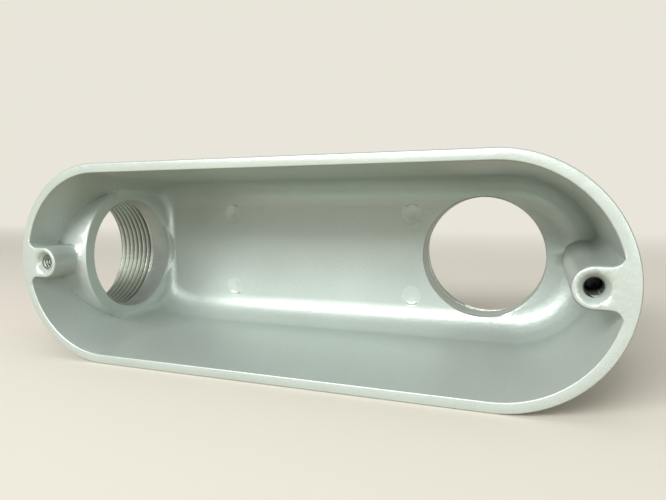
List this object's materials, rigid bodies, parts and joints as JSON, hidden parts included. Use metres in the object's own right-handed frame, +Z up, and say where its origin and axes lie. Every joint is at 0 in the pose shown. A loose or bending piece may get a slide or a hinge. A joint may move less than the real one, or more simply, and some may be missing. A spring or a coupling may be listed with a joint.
{
  "type": "conduit body",
  "caption": "Obround cast box with an open mouth, a threaded hub at one end and another through its back, for pulling wires round a right-angle turn.",
  "frame": {"origin": "on the ground under the middle of the whole casting's box, standing on its long side", "axes": "+X along the box away from the end hub, -Y out of the open mouth, +Z up across the width"},
  "size_m": [0.1986, 0.079, 0.065],
  "materials": {
    "painted_casting": "satin light grey paint over a die casting, bare metal in the tapped threads"
  },
  "bodies": {
    "root": {"conduit_body": "painted_casting"}
  },
  "joints": []
}
